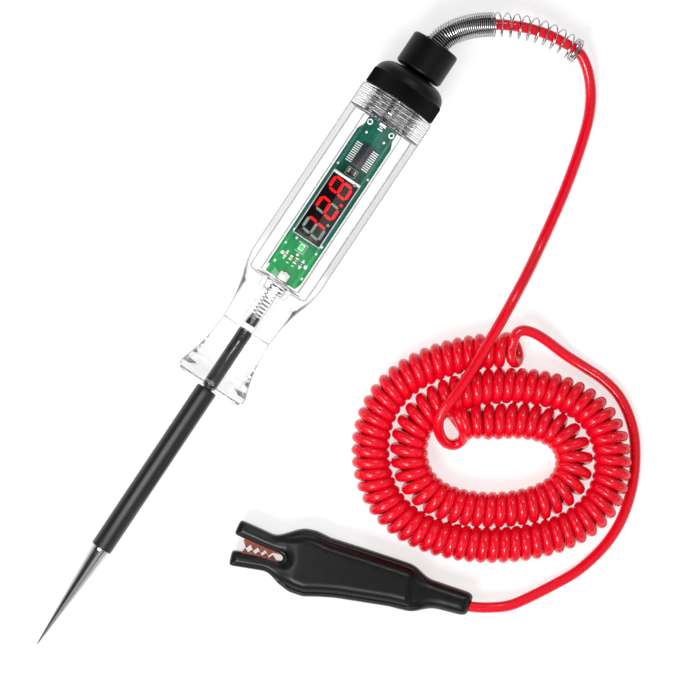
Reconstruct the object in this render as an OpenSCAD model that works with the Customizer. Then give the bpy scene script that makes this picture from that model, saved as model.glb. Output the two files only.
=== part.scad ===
// Circuit test light: probe, clear handle with a voltage display, screw cap, curly cord and ground clip.
// It lies on its side on z = 0. The tester's axis runs along X, with the probe's tip towards -X,
// and the cord and the clip lie on the -Y side. "at" values are distances back from the probe's tip.

/* [Probe] */
// Length of the bright needle ahead of the sleeve
needle_len = 39; // [36:0.5:40]
// Radius of the needle where it meets the sleeve
needle_r = 3.1; // [2.8:0.05:3.3]
// Outer radius of the insulating sleeve
sleeve_r = 3.65; // [3.5:0.05:4]
// Radius of the steel rod that carries the needle
rod_r = 1.75; // [1.6:0.05:1.8]

/* [Handle] */
// Largest radius of the clear barrel
barrel_r = 13.6; // [13.2:0.1:14]
// Radius of the flange at the front of the nose
flange_r = 12.7; // [12:0.1:13]
// Smallest radius of the waist
waist_r = 9.2; // [9:0.1:10]
// Radius of the chamber that holds the circuit board
chamber_r = 7.6; // [7.5:0.05:7.8]

/* [Circuit board] */
// Half the width of the board's wide part
board_half_w = 7.2; // [6.8:0.05:7.2]
// Thickness of the board
board_t = 1; // [0.8:0.1:1.2]
// Length of the display module
display_len = 25; // [24:0.5:25]
// Width of the display module
display_w = 9.2; // [8.8:0.1:9.6]

/* [Cap] */
// Largest radius of the knurled cap
cap_r = 13.1; // [12.6:0.1:13.4]
// Outer radius of the gland nut
gland_r = 8.5; // [8:0.1:9]
// Outer radius of the threaded plug that screws into the barrel
plug_r = 9.1; // [8.8:0.05:9.15]

/* [Cord] */
// Radius of the cord
cord_r = 1.85; // [1.6:0.05:1.85]
// Outer radius of the curly part
curl_r = 5.9; // [5.6:0.1:5.9]
// Outer radius of the spring guard
guard_r = 4.3; // [4.1:0.1:4.4]

/* [Clip] */
// Thickness of the clip's boot, across its flat sides
boot_t = 12; // [12:0.5:14]
// Width of the sheet-metal jaws between the boot's flat sides
jaw_w = 7; // [6.6:0.1:7.2]
// Thickness of the sheet metal
sheet_t = 0.8; // [0.6:0.1:0.8]

/* [Hidden] */
$fn = 64;

// Distances back from the probe's tip.
sleeve_end_at = 102.8;
nose_at = 103.7;
waist_at = 125.5;
nose_end_at = 126.4;
shell_at = 126.5;
ridge_at = 142.3;
chamber_at = 149.7;
barrel_at = 152.3;
thread_at = 207.3;
shell_end_at = 217.3;
cap_at = 217.6;
cap_dome_at = 223.5;
cap_back_at = 228.3;
gland_at = 229;
neck_end_at = 236.5;
tester_len = 240.8;
board_at = 147.2;
board_neck_at = 202.7;
board_end_at = 209;
display_at = 162.2;

// Handle details.
flange_round = 2;
ridge_r = 11.8;
coil_at = 143.4;
bore_r = 2.2;
thread_r = 9.45;
board_top = -1.1;
board_tail_half_w = 5.85;
display_top = 4.7;
display_bar = 1.2;
digit_pitch = 8;
digit_h = 6.7;
digit_w = 4.4;
seg_w = 0.85;
seg_t = 0.12;
slant = 8;
neck_r = 5;
neck_bore_r = 3.2;
gland_mouth_r = 5.6;
bush_r = 3.15;
axis_z = barrel_r;
rest_x = tester_len / 2;

// The ring of curly cord: an oval spiral, its long side turned by ring_turn.
ring_x = 18;
ring_y = -94.4;
ring_turn = -56.3;
ring_long = 50.2;
ring_short = 38.6;
ring_long_step = 12.9;
ring_short_step = 11.9;
ring_square = 0.035;
ring_from = 80;
ring_to = 860;
ring_angle = 20;

// The cord's route from the gland through the guard, and on over the ring to its inner end.
GUARD = [
  [120.4, 0, 13.6], [124, -0.8, 13.6], [128, -3, 13.4], [132, -6.4, 13], [136, -11.2, 12.2],
  [139.4, -16.6, 11.2], [142, -22, 10], [144, -28, 8.6], [145, -34, 7.2], [145.2, -41, 6]
];
LEAD = [
  [145.2, -41, 6], [143, -45.4, 4.8], [139.4, -49.4, 3.4], [135, -52.8, 2.5], [129, -55.9, 2.1],
  [122, -58.3, 1.9], [112, -61, 1.9], [102, -63.2, 1.9], [93, -64.8, 2.1], [84, -66.2, 3.4],
  [75, -67.4, 7.4], [66, -68.2, 12], [58, -68.8, 14.2], [48, -69.4, 14.2], [36, -69.9, 14.2],
  [25, -69.8, 14.2], [19.6, -69, 13.8], [14.8, -70, 12.6], [11.6, -72.2, 10],
  [10.4, -74.6, 7], [11.6, -76.4, 5.9]
];
TAIL = [
  [56.6, -80.4, 5.9], [58, -83.2, 5.2], [58.5, -87, 4.2], [58.4, -94, 2.6], [58.6, -102, 1.9],
  [58.6, -108.5, 1.9], [57.3, -115.3, 1.9], [54, -121.7, 1.9], [49, -127.6, 1.9],
  [42.6, -132.4, 1.9], [36, -136, 1.9], [29, -138.6, 1.9], [21.4, -140.2, 1.9],
  [13.6, -140.3, 1.9], [6, -139, 2], [-1, -136.8, 2.4], [-8, -133.2, 3], [-15, -129.2, 4],
  [-22, -124.5, 5], [-26.4, -119.1, 5.8], [-29.2, -114.5, 6]
];
clip_x = -48.3;
clip_y = -59.6;
clip_turn = -66;
clip_z = boot_t / 2;
boot_wall = 1.3;
boot_rim = 1.2;
tail_t = 8.8;
crimp_y = -4.6;
crimp_end = 46;
cord_inside = 20;
pivot_r = 1.2;

// Points of an arc in (radius, distance back) order, for outlines that are turned about the axis.
function arc(back, r, size, a0, a1, n = 6) =
  [for (i = [0:n]) let (a = a0 + (a1 - a0) * i / n) [r + size * cos(a), back + size * sin(a)]];

function unit(v) = v / norm(v);
function next_to(points, i) =
  unit(points[min(i + 1, len(points) - 1)] - points[max(i - 1, 0)]);

// A closed tube through points, with one ring of corners square to each direction.
module tube(points, directions, r, sides) {
  rings = len(points);
  corners = [for (i = [0:rings - 1], k = [0:sides - 1])
    let (t = directions[i], s = unit(cross([0, 0, 1], t)), u = cross(t, s),
         a = 360 * (k + 0.5) / sides)
    points[i] + r * (cos(a) * s + sin(a) * u)];
  walls = [for (i = [0:rings - 2], k = [0:sides - 1])
    let (a = i * sides + k, b = i * sides + (k + 1) % sides)
    [a, a + sides, b + sides, b]];
  ends = [[for (k = [0:sides - 1]) k],
          [for (k = [sides - 1:-1:0]) (rings - 1) * sides + k]];
  polyhedron(corners, concat(walls, ends), convexity = 6);
}

// Places a shape whose z runs back along the tester's axis from the tip.
module along_axis() {
  translate([-rest_x, 0, axis_z]) rotate([0, 90, 0]) children();
}

// Turns an outline of (radius, distance back) points about the tester's axis.
module turned(outline) {
  along_axis() rotate_extrude() polygon(outline);
}

// A round sleeve about the tester's axis.
module ring(from, to, outer, inner) {
  turned([[inner, from], [outer, from], [outer, to], [inner, to]]);
}

// A box in the tester's frame: distance back, across, and height above the axis.
module block(at, y, z, size) {
  translate([at - rest_x, y, axis_z + z]) cube(size);
}

// The nose of the clear handle, which grips the rod and narrows into the waist.
function front_waist() = [for (i = [1:8]) let (x = nose_at + 3.3 + (waist_at - nose_at - 3.3) * i / 8)
  [waist_r + (flange_r - waist_r) * pow((waist_at - x) / (waist_at - nose_at - 3.3), 2), x]];

module nose_piece() color([0.93, 0.95, 0.96, 0.4]) {
  turned(concat(
    [[rod_r, nose_at]],
    arc(nose_at + flange_round, flange_r - flange_round, flange_round, -90, 0),
    [[flange_r, nose_at + 3.3]],
    front_waist(),
    [[waist_r, nose_end_at], [rod_r, nose_end_at]]));
}

// The clear barrel: waist, shoulder, board chamber and rear thread.
function rear_waist() = [for (i = [0:7]) let (x = shell_at + (ridge_at - shell_at) * i / 7)
  [waist_r + (ridge_r - waist_r) * pow((x - shell_at) / (ridge_at - shell_at), 2), x]];
function shoulder() = [for (i = [1:7]) let (a = 90 * i / 7)
  [ridge_r + 0.1 + (barrel_r - ridge_r - 0.1) * sin(a), ridge_at + (barrel_at - ridge_at) * i / 7]];
function chamber_front() = [for (i = [0:6]) let (a = 72 * i / 6)
  [chamber_r * cos(a), chamber_at - 7.4 * sin(a)]];

module handle_shell() color([0.93, 0.95, 0.96, 0.4]) {
  turned(concat(
    [[bore_r, shell_at]],
    rear_waist(), shoulder(),
    arc(shell_end_at - 0.8, barrel_r - 0.8, 0.8, 0, 90, 4),
    [[thread_r, shell_end_at], [thread_r, thread_at], [chamber_r, thread_at]],
    chamber_front(),
    [[bore_r, ridge_at]]));
}

module probe_needle() color([0.8, 0.8, 0.82]) {
  turned([[0, 0], [0.15, 0.1], [needle_r, needle_len - 1], [needle_r, needle_len + 3],
          [rod_r, needle_len + 3], [rod_r, needle_len - 4], [0, needle_len - 4]]);
}

module probe_rod() color([0.7, 0.7, 0.72]) {
  turned([[0, needle_len - 4], [rod_r, needle_len - 4], [rod_r, nose_end_at - 0.6],
          [rod_r - 0.5, nose_end_at - 0.1], [0, nose_end_at - 0.1]]);
}

module probe_sleeve() color([0.05, 0.05, 0.05]) {
  turned([[needle_r, needle_len], [sleeve_r, needle_len], [sleeve_r, sleeve_end_at - 0.4],
          [sleeve_r - 0.4, sleeve_end_at], [rod_r, sleeve_end_at], [rod_r, needle_len + 3],
          [needle_r, needle_len + 3]]);
}

// The spring between the rod's end and the board, close-wound at its front and wider at the back.
module contact_spring() color([0.75, 0.75, 0.78]) {
  ring(nose_end_at, coil_at, 1.95, 1.45);
  translate([0, -0.7, 0]) ring(coil_at, board_at, 2.8, 2.2);
}

module contact_tab() color([0.8, 0.8, 0.8]) {
  block(board_at, -2.2, board_top, [2.8, 3.6, 0.5]);
  block(board_at + 0.4, -1.6, board_top + 0.5, [1.6, 2.4, 1]);
}

module circuit_board() color([0, 0.35, 0.25]) {
  edge = board_half_w - 1.4;
  translate([-rest_x, 0, axis_z + board_top - board_t])
  difference() {
    linear_extrude(board_t) polygon(concat(
      [[board_at, -edge], [board_at + 2.4, -board_half_w]],
      [[board_neck_at, -board_half_w], [board_neck_at + 2.4, -board_tail_half_w]],
      [[board_end_at, -board_tail_half_w], [board_end_at, board_tail_half_w]],
      [[board_neck_at + 2.4, board_tail_half_w], [board_neck_at, board_half_w]],
      [[board_at + 2.4, board_half_w], [board_at, edge]]));
    for (side = [-1, 1]) translate([board_end_at - 2.3, side * 4.4, -1]) cylinder(r = 0.6, h = 3);
  }
}

module display_module() color([0.06, 0.06, 0.07]) {
  block(display_at, -display_w / 2, board_top, [display_len, display_w, display_top - board_top]);
}

// One seven-segment bar, centred, lying along x.
module bar(length) {
  e = seg_w / 2;
  linear_extrude(seg_t) polygon([[-length / 2, 0], [-length / 2 + e, e], [length / 2 - e, e],
    [length / 2, 0], [length / 2 - e, -e], [-length / 2 + e, -e]]);
}

// The segments of one digit, named in the usual order: a to g, then the point.
module segments(digit, wanted) {
  x0 = display_at + 4.7 + digit_pitch * digit;
  w = digit_w;
  h = digit_h / 2;
  places = [[0, h, 0], [w / 2, h / 2, 90], [w / 2, -h / 2, 90], [0, -h, 0],
            [-w / 2, -h / 2, 90], [-w / 2, h / 2, 90], [0, 0, 0]];
  translate([x0 - rest_x, 0, axis_z + display_top]) {
    for (i = wanted) {
      if (i < 7) translate([places[i][0] + places[i][1] * tan(slant), places[i][1] * 0.92, 0])
        rotate([0, 0, places[i][2] == 0 ? 0 : places[i][2] - slant])
        bar(places[i][2] == 0 ? w - 0.5 : h - 0.5);
      else translate([w / 2 + 1.1, -h * 0.92, 0]) cylinder(r = 0.5, h = seg_t);
    }
  }
}

module lit_segments() color([1, 0.05, 0.02]) {
  segments(0, [1, 2]);
  segments(1, [0, 1, 3, 4, 6, 7]);
  segments(2, [0, 1, 2, 3, 4, 5, 6]);
}

module dark_segments() color([0.55, 0.57, 0.55]) {
  segments(0, [0, 3, 4, 5, 6, 7]);
  segments(1, [2, 5]);
  segments(2, [7]);
}

module indicator_led() color([0.2, 1, 0.2]) {
  block(158.2, -1, board_top, [2.4, 2, 1.1]);
}

module driver_chip() color([0.05, 0.05, 0.07]) {
  block(191.6, -2, board_top + 0.2, [8, 4, 1.5]);
}

// Ten gull-wing pins on each long side of the chip, each a foot and a leg.
module chip_pins() color([0.85, 0.85, 0.86]) {
  for (side = [-1, 1], i = [0:9]) {
    x = 192 + i * 0.76;
    block(x, side > 0 ? 2.1 : -4.4, board_top, [0.4, 2.3, 0.2]);
    block(x, side > 0 ? 2.1 : -2.8, board_top, [0.4, 0.7, 0.9]);
  }
}

module chip_resistors() color([0.12, 0.12, 0.12]) {
  for (y = [-3.8, -1.5]) block(153.6, y, board_top, [2, 1.2, 0.6]);
  block(206, -0.9, board_top, [1.9, 1.8, 0.6]);
}

module chip_capacitors() color([0.75, 0.7, 0.6]) {
  for (y = [0.6, 2.7]) block(153.8, y, board_top, [1.6, 1, 0.8]);
}

module diode() color([0.25, 0.13, 0.1]) {
  block(188.6, -1.4, board_top, [1.9, 2.8, 1.1]);
}

module solder_pads() color([0.8, 0.82, 0.82]) {
  for (y = [-4.9, 4.6]) translate([154.6 - rest_x, y, axis_z + board_top])
    cylinder(r = 0.7, h = 0.35);
  for (side = [-1, 1]) translate([board_end_at - 2.3 - rest_x, side * 4.4, axis_z + board_top])
    difference() {
      cylinder(r = 1, h = 0.15);
      translate([0, 0, -1]) cylinder(r = 0.6, h = 3);
    }
}

module ground_pad() color([0.8, 0.75, 0.6]) {
  block(board_end_at - 0.6, -1.6, board_top, [0.6, 3.2, 2.2]);
}

// The knurled cap: a ring, a dome and a hollow neck that the gland nut screws onto.
module end_cap() color([0.05, 0.05, 0.05]) {
  turned(concat(
    [[neck_bore_r, cap_at + 3], [7.4, cap_at + 3], [7.4, cap_at]],
    [[cap_r, cap_at], [cap_r, cap_dome_at], [cap_r - 0.4, cap_dome_at]],
    [for (i = [1:7]) let (a = 84 * i / 7)
      [7 + (cap_r - 7.4) * cos(a), cap_dome_at + (cap_back_at - cap_dome_at) * sin(a)]],
    [[neck_r, cap_back_at], [neck_r, neck_end_at], [neck_bore_r, neck_end_at]]));
}

module threaded_plug() color([0.85, 0.86, 0.86]) {
  ring(thread_at + 0.7, cap_at, plug_r, 7.5);
}

module gland_nut() color([0.05, 0.05, 0.05]) {
  turned(concat(
    [[neck_r, gland_at]],
    arc(gland_at + 1.2, gland_r - 1.2, 1.2, -90, 0, 4),
    arc(tester_len - 1.2, gland_r - 1.2, 1.2, 0, 90, 4),
    [[gland_mouth_r, tester_len], [gland_mouth_r, neck_end_at + 0.1], [neck_r, neck_end_at + 0.1]]));
}

// The bush turns freely in the neck, so the cap can be unscrewed without twisting the cord.
module cord_bush() color([0.75, 0.6, 0.3]) {
  turned([[cord_r, 219], [bush_r, 219], [bush_r, neck_end_at + 0.4], [5.2, neck_end_at + 0.4],
          [5.2, 238.4], [cord_r, 238.4]]);
}

module retaining_ring() color([0.6, 0.6, 0.62]) {
  ring(219.2, 220.2, 5.2, bush_r);
}

module rear_contact_spring() color([0.8, 0.75, 0.5]) {
  ring(board_end_at + 0.1, 219, 2.4, 1.8);
}

module spring_guard() color([0.8, 0.8, 0.82]) {
  directions = [for (i = [0:len(GUARD) - 1]) i == 0 ? [1, 0, 0] : next_to(GUARD, i)];
  longer = [for (i = [0:len(GUARD) - 1])
    GUARD[i] + (i == 0 ? -0.5 : i == len(GUARD) - 1 ? 0.5 : 0) * directions[i]];
  ring(238.4, tester_len, 5.25, guard_r - 0.6);
  difference() {
    tube(GUARD, directions, guard_r, 12);
    tube(longer, directions, guard_r - 0.6, 12);
  }
}

// The straight part of the cord, from the bush through the guard and over the ring.
module cord_lead() color([0.85, 0.02, 0.08]) {
  route = concat([GUARD[0] - [cord_inside, 0, 0]], [for (i = [0:len(GUARD) - 2]) GUARD[i]], LEAD,
                 [ring_point(ring_to)]);
  directions = [for (i = [0:len(route) - 1])
    i == 0 ? [1, 0, 0] : i == len(route) - 1 ? -ring_direction(ring_to) : next_to(route, i)];
  tube(route, directions, cord_r, 8);
}

// The centre of the curly cord at an angle round the ring, and its direction there.
function ring_point(a) =
  let (along = ring_long - ring_long_step * a / 360, across = ring_short - ring_short_step * a / 360,
       x = along * (cos(a) - ring_square * cos(3 * a)) / (1 - ring_square), y = across * sin(a),
       c = cos(ring_turn), s = sin(ring_turn))
  [ring_x + x * c - y * s, ring_y + x * s + y * c, curl_r];
function ring_direction(a) = unit(ring_point(a + 0.5) - ring_point(a - 0.5));

// The curly part as one fat tube, wound into a flat oval ring.
module curly_cord() color([0.85, 0.02, 0.08]) {
  angles = [ring_from:ring_angle:ring_to];
  tube([for (a = angles) ring_point(a)], [for (a = angles) ring_direction(a)], curl_r, 10);
}

module cord_tail() color([0.85, 0.02, 0.08]) {
  c = cos(clip_turn);
  s = sin(clip_turn);
  crimp = [clip_x + crimp_end * c - crimp_y * s, clip_y + crimp_end * s + crimp_y * c, clip_z];
  route = concat(TAIL, [crimp]);
  directions = [for (i = [0:len(TAIL)]) i == 0 ? -ring_direction(ring_from) : next_to(route, i)];
  tube(route, directions, cord_r, 8);
}

// Places a shape in the clip's own frame: x back from the pivot to the cord, y to the moving jaw.
module in_clip() {
  translate([clip_x, clip_y, clip_z]) rotate([0, 0, clip_turn]) children();
}

// A channel of bent sheet: a web along an edge and two side walls, cut from the same outline.
module channel(width, outline, hollow) {
  difference() {
    translate([0, 0, -width / 2]) linear_extrude(width) polygon(outline);
    translate([0, 0, sheet_t - width / 2]) linear_extrude(width - 2 * sheet_t) polygon(hollow);
  }
}

// A row of teeth: each has its point at y, falling by drop a tooth, and its root a depth below that.
function teeth(x, y, pitch, drop, count, depth = 1.3) = [for (i = [0:count - 1], k = [0, 1])
  [x + pitch * (i + k * 0.5), y + drop * i - k * depth]];

module clip_lower_jaw() color([0.72, 0.42, 0.3]) in_clip() difference() {
  union() {
    channel(jaw_w,
      concat([[-21.5, -2.6], [-21.5, 0.4]], teeth(-20.8, 1.6, 2.4, -0.2, 5),
             [[-7.6, -1.4], [-3, 2.2], [2.2, 2.2], [6, -2], [30, -4.6], [30, -7], [0, -8.6], [-6, -6.4],
              [-10, -3.8]]),
      [[-22, -1.8], [-22, 3], [31, 3], [31, -3], [30, -6.2], [0, -7.8], [-6, -5.6], [-10, -3]]);
    translate([28, -6.8, -1]) cube([10, sheet_t, 2]);
  }
  cylinder(r = pivot_r, h = 20, center = true);
}

module clip_upper_jaw() color([0.72, 0.42, 0.3]) in_clip() difference() {
  w = jaw_w - 2 * sheet_t - 0.8;
  channel(w,
    concat([[-21.5, 8.2], [-21.5, 4]], teeth(-20.4, 1.8, 2.6, -0.45, 4, -1.4),
           [[-8.6, 1.6], [-3, -2], [2.2, -2], [5, 2], [29, 2.6], [29, 4.4], [4, 8.2], [-4, 7.6],
            [-10, 5.2]]),
    [[-22, 7.4], [-22, 0], [-8, -3], [30, -3], [29, 3.6], [4, 7.4], [-4, 6.8], [-10, 4.4]]);
  cylinder(r = pivot_r + 0.06, h = 20, center = true);
}

module clip_pivot() color([0.7, 0.5, 0.4]) in_clip() {
  cylinder(r = pivot_r, h = jaw_w, center = true);
  for (side = [-1, 1]) translate([0, 0, side * (jaw_w / 2 + 0.35)])
    cylinder(r = 2, h = 0.7, center = true);
}

// The coil that holds the jaws shut, round the pivot.
module clip_spring() color([0.7, 0.7, 0.72]) in_clip() difference() {
  cylinder(r = 2.1, h = 2.6, center = true);
  cylinder(r = pivot_r + 0.25, h = 4, center = true);
}

module clip_crimp() color([0.8, 0.7, 0.4]) in_clip() {
  translate([38, crimp_y, 0]) rotate([0, 90, 0]) difference() {
    cylinder(r = 2.4, h = crimp_end - 38);
    translate([0, 0, -1]) cylinder(r = 1.2, h = 10);
  }
}

// The boot's side outline, and the same outline drawn in by a margin.
module boot_outline(margin) {
  offset(delta = -margin) polygon(concat(
    [[-24.6, 6.6], [-22.8, 10.7], [-16.8, 9.2], [-12.4, 8]],
    [for (i = [1:5]) let (t = i / 5) [-12.4 + 11.6 * t, 7.8 + 3.9 * pow(sin(90 * t), 2)]],
    [[2.4, 11.5], [7, 10.1], [20, 8.3], [33.8, 6.2]],
    [for (i = [1:4]) let (t = i / 4) [34 + 10 * t, 6.1 - 4.4 * pow(sin(90 * t), 2)]],
    [[56, -0.2], [57.4, -1.6], [56.6, -7], [54.8, -8.3], [46, -7.6]],
    [for (i = [1:4]) let (t = i / 4) [45.5 - 9 * t, -7.6 - 2.4 * pow(sin(90 * t), 2)]],
    [[30, -9.5], [12, -9.7], [1, -11.1], [-4, -10.3], [-8.2, -8]],
    [for (i = [1:3]) let (t = i / 3) [-8.2 - 5.4 * t, -8 + 3.2 * sin(90 * t)]],
    [[-24.6, -3.9], [-24.2, 0.6], [-17, 0.4], [-8.6, -0.8], [-7.6, 0.4], [-8.4, 1.6], [-14, 3.4]]));
}

// The soft boot over both jaws, open at the mouth, hollow inside, with a sleeve for the cord.
module clip_boot() color([0.06, 0.06, 0.06]) in_clip() difference() {
  union() {
    intersection() {
      translate([0, 0, -boot_t / 2]) union() {
        linear_extrude(boot_t) boot_outline(boot_rim);
        translate([0, 0, boot_rim]) linear_extrude(boot_t - 2 * boot_rim) boot_outline(0);
      }
      translate([-30, -20, -boot_t]) cube([70, 40, 2 * boot_t]);
    }
    translate([0, 0, -tail_t / 2]) linear_extrude(tail_t) intersection() {
      boot_outline(0);
      translate([38, -20]) square([30, 40]);
    }
  }
  intersection() {
    translate([0, 0, boot_wall - boot_t / 2]) linear_extrude(boot_t - 2 * boot_wall) boot_outline(boot_wall);
    translate([-30, -20, -boot_t]) cube([67, 40, 2 * boot_t]);
  }
  translate([36, crimp_y, 0]) rotate([0, 90, 0]) cylinder(r = 2.6, h = 12);
  translate([36, crimp_y, 0]) rotate([0, 90, 0]) cylinder(r = cord_r, h = 30);
  translate([0, 0, -jaw_w / 2 - 0.3]) linear_extrude(jaw_w + 0.6)
    polygon([[-22, -2.8], [-5.4, -5.4], [-5.4, 6], [-22, 9]]);
}

nose_piece();
handle_shell();
probe_needle();
probe_rod();
probe_sleeve();
contact_spring();
contact_tab();
circuit_board();
display_module();
lit_segments();
dark_segments();
indicator_led();
driver_chip();
chip_pins();
chip_resistors();
chip_capacitors();
diode();
solder_pads();
ground_pad();
end_cap();
threaded_plug();
gland_nut();
cord_bush();
retaining_ring();
rear_contact_spring();
spring_guard();
cord_lead();
curly_cord();
cord_tail();
clip_lower_jaw();
clip_upper_jaw();
clip_pivot();
clip_spring();
clip_crimp();
clip_boot();
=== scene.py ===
import math

import bmesh
import bpy
import numpy as np
from mathutils import Matrix, Vector
from mathutils.geometry import delaunay_2d_cdt


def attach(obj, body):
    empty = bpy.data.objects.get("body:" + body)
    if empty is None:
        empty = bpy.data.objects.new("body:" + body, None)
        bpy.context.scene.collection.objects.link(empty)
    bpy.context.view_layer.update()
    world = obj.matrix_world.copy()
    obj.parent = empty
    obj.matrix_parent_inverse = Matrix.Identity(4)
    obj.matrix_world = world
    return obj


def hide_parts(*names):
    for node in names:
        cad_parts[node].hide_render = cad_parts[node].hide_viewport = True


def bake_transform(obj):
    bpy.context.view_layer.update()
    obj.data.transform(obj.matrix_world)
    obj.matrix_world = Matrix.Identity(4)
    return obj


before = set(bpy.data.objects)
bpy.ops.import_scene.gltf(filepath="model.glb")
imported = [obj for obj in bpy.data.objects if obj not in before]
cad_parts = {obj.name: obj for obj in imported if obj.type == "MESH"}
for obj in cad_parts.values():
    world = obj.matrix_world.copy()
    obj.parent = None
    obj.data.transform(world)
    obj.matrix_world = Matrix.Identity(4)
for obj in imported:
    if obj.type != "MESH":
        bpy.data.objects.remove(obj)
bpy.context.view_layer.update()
scene = bpy.context.scene
scene.view_settings.view_transform = "Standard"

MM = 0.001
TIP_X = -120.4
AXIS_Z = 13.6


def at(back, across=0.0, up=0.0):
    """A point by its distance back from the needle's tip, across, and above the tester's axis, in mm."""
    return Vector((TIP_X + back, across, AXIS_Z + up)) * MM


def smooth(t):
    """An even change from 0 to 1 as t goes from 0 to 1."""
    t = min(1.0, max(0.0, t))
    return t * t * (3 - 2 * t)


# ---------------------------------------------------------------- camera
# It looks straight down. RIGHT and UP are the picture's own directions, AIM is the point it looks at, WIDE
# the width it sees at the tester's axis, and HEIGHT its height above that, all in mm.
RIGHT = Vector((0.5547, -0.8321, 0))
UP = Vector((0.8321, 0.5547, 0))
AIM = Vector((19.6, -32.4, 0))
WIDE = 233.3
HEIGHT = 1200.0
SENSOR = 36
camera_data = bpy.data.cameras.new("camera")
camera = bpy.data.objects.new("camera", camera_data)
scene.collection.objects.link(camera)
camera_data.sensor_width = SENSOR
camera_data.lens = SENSOR * HEIGHT / WIDE
camera_data.clip_start = 0.1
camera_data.clip_end = 20
turn = Matrix((RIGHT, UP, Vector((0, 0, 1)))).transposed().to_4x4()
camera.matrix_world = Matrix.Translation((AIM + Vector((0, 0, AXIS_Z + HEIGHT))) * MM) @ turn
scene.camera = camera


# ---------------------------------------------------------------- materials
def material(name, color, rough, metal=0.0, vary=0.1, grain=300.0, rub=0.25, bump=0.1, depth=0.00005,
             stretch=(1, 1, 1), **sockets):
    """A Principled material whose colour, roughness and relief vary by noise in the object's own space.

    vary and rub are how far colour and roughness go either way, grain is the noise's scale per metre, bump
    and depth are the relief's strength and height in metres, and stretch scales the noise along each axis.
    The rest are values for the shader's own sockets.
    """
    made = bpy.data.materials.new(name)
    made.use_nodes = True
    nodes, links = made.node_tree.nodes, made.node_tree.links
    shader = nodes["Principled BSDF"]
    coords = nodes.new("ShaderNodeTexCoord")
    mapping = nodes.new("ShaderNodeMapping")
    mapping.inputs["Scale"].default_value = stretch
    links.new(coords.outputs["Object"], mapping.inputs["Vector"])
    fine = nodes.new("ShaderNodeTexNoise")
    fine.inputs["Scale"].default_value = grain
    fine.inputs["Detail"].default_value = 5
    links.new(mapping.outputs["Vector"], fine.inputs["Vector"])
    broad = nodes.new("ShaderNodeTexNoise")
    broad.inputs["Scale"].default_value = grain / 6
    broad.inputs["Detail"].default_value = 3
    links.new(mapping.outputs["Vector"], broad.inputs["Vector"])
    mix = nodes.new("ShaderNodeMix")
    mix.data_type = "RGBA"
    mix.inputs["A"].default_value = (*[c * (1 - vary) for c in color], 1)
    mix.inputs["B"].default_value = (*[min(1.0, c * (1 + vary)) for c in color], 1)
    links.new(broad.outputs["Fac"], mix.inputs["Factor"])
    links.new(mix.outputs["Result"], shader.inputs["Base Color"])
    span = nodes.new("ShaderNodeMapRange")
    span.inputs["To Min"].default_value = rough * (1 - rub)
    span.inputs["To Max"].default_value = min(1.0, rough * (1 + rub))
    links.new(fine.outputs["Fac"], span.inputs["Value"])
    links.new(span.outputs["Result"], shader.inputs["Roughness"])
    relief = nodes.new("ShaderNodeBump")
    relief.inputs["Strength"].default_value = bump
    relief.inputs["Distance"].default_value = depth
    links.new(fine.outputs["Fac"], relief.inputs["Height"])
    links.new(relief.outputs["Normal"], shader.inputs["Normal"])
    shader.inputs["Metallic"].default_value = metal
    for key, value in sockets.items():
        shader.inputs[key.replace("_", " ")].default_value = value
    return made


def paint_edge_shade(made, color, low, high, clearness):
    """Paints shade onto a clear plastic where it is seen edge on: its colour darkens and its clearness drops
    to the clearness that it keeps there. This painted shade stands in for the dark edges and flanks that a
    clear part shows against dark surroundings.
    """
    nodes, links = made.node_tree.nodes, made.node_tree.links
    shader = nodes["Principled BSDF"]
    weight = nodes.new("ShaderNodeLayerWeight")
    span = nodes.new("ShaderNodeMapRange")
    span.interpolation_type = "SMOOTHSTEP"
    span.inputs["From Min"].default_value = low
    span.inputs["From Max"].default_value = high
    links.new(weight.outputs["Facing"], span.inputs["Value"])
    edge_shade_mix = nodes.new("ShaderNodeMix")
    edge_shade_mix.data_type = "RGBA"
    links.new(shader.inputs["Base Color"].links[0].from_socket, edge_shade_mix.inputs["A"])
    edge_shade_mix.inputs["B"].default_value = (*color, 1)
    links.new(span.outputs["Result"], edge_shade_mix.inputs["Factor"])
    links.new(edge_shade_mix.outputs["Result"], shader.inputs["Base Color"])
    through = nodes.new("ShaderNodeMapRange")
    through.inputs["To Min"].default_value = 1.0
    through.inputs["To Max"].default_value = clearness
    links.new(span.outputs["Result"], through.inputs["Value"])
    links.new(through.outputs["Result"], shader.inputs["Transmission Weight"])


FADE_FROM = 156
FADE_TO = 167


def along_board(name, front, back, **look):
    """A board material whose colour goes from front to back between FADE_FROM and FADE_TO."""
    made = material(name, front, Specular_IOR_Level=0.25, **look)
    nodes, links = made.node_tree.nodes, made.node_tree.links
    coords = nodes.new("ShaderNodeTexCoord")
    split = nodes.new("ShaderNodeSeparateXYZ")
    links.new(coords.outputs["Object"], split.inputs["Vector"])
    reach = nodes.new("ShaderNodeMapRange")
    reach.interpolation_type = "SMOOTHSTEP"
    reach.inputs["From Min"].default_value = at(FADE_FROM).x
    reach.inputs["From Max"].default_value = at(FADE_TO).x
    links.new(split.outputs["X"], reach.inputs["Value"])
    shader = nodes["Principled BSDF"]
    first = shader.inputs["Base Color"].links[0].from_node
    for key, shade in (("A", 0.8), ("B", 1.2)):
        pick = nodes.new("ShaderNodeMix")
        pick.data_type = "RGBA"
        pick.inputs["A"].default_value = (*[c * shade for c in front], 1)
        pick.inputs["B"].default_value = (*[c * shade for c in back], 1)
        links.new(reach.outputs["Result"], pick.inputs["Factor"])
        links.new(pick.outputs["Result"], first.inputs[key])
    return made


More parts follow.
